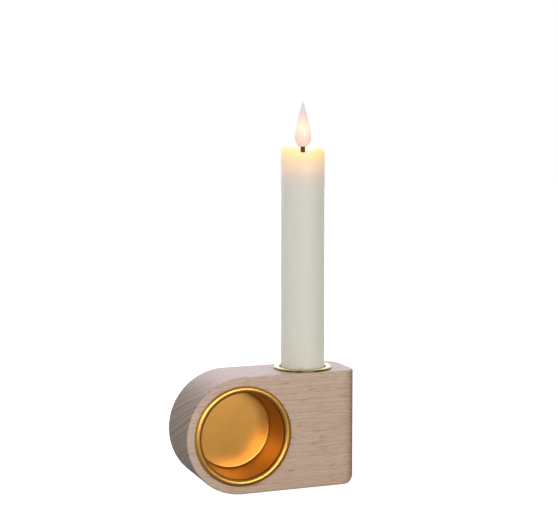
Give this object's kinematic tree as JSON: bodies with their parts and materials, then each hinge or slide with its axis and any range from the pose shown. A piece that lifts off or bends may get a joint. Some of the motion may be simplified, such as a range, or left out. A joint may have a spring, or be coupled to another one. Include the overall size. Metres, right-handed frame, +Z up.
{
  "type": "candlestick",
  "caption": "Thick D-shaped beech candlestick with a metal tealight cup in its front, a brass taper socket in its top, and a battery taper candle with a flame-shaped lamp.",
  "frame": {"origin": "middle of the block's length and depth, on its flat underside", "axes": "+X from the round end with the tealight cup to the square end with the candle, -Y out of the front face that the tealight cup opens through, +Z up along the candle"},
  "size_m": [0.092, 0.0334, 0.1967],
  "materials": {
    "beech": "smooth sanded beech, matt clear oil",
    "gold_aluminium": "gold anodised, satin",
    "brass": "polished",
    "wax": "smooth ivory wax, slightly translucent",
    "flame_plastic": "milky translucent, lit from inside",
    "wick_plastic": "dark brown, matt",
    "white_plastic": "moulded, fine texture",
    "black_plastic": "moulded, fine texture",
    "lamp": "warm white lamp resin",
    "circuit_board": "green solder mask",
    "steel": "bright nickel plated",
    "cell_wrap": "printed steel can, plain"
  },
  "bodies": {
    "holder": {"wood_block": "beech", "tealight_cup": "gold_aluminium", "candle_socket": "brass"},
    "candle": {"wax_shell": "wax", "flame_diffuser": "flame_plastic", "flame_led": "lamp", "wick_sleeve": "wick_plastic", "lead_anode": "steel", "lead_cathode": "steel", "housing_tube": "white_plastic", "housing_top": "white_plastic", "battery_cradle": "black_plastic", "battery_lower": "cell_wrap", "battery_upper": "cell_wrap", "contact_strip": "brass", "top_contact": "brass", "circuit_board": "circuit_board", "timer_chip": "black_plastic", "lamp_resistor": "black_plastic", "board_capacitor": "steel"},
    "cap": {"battery_cap": "white_plastic", "cap_insulator": "black_plastic", "cap_contact_ring": "brass", "battery_spring": "steel", "switch_body": "black_plastic"},
    "switch": {"switch_slider": "black_plastic"}
  },
  "joints": [
    {"name": "candle_lift", "type": "slide", "parent": "holder", "child": "candle", "axis": [0, 0, 1], "range_m": [0, 0.03]},
    {"name": "cap_twist", "type": "hinge", "parent": "candle", "child": "cap", "pos_m": [0.0218, 0, 0.0398], "axis": [0, 0, 1], "range_deg": [0, 55]},
    {"name": "switch_slide", "type": "slide", "parent": "cap", "child": "switch", "axis": [1, 0, 0], "range_m": [0, 0.0025]}
  ]
}
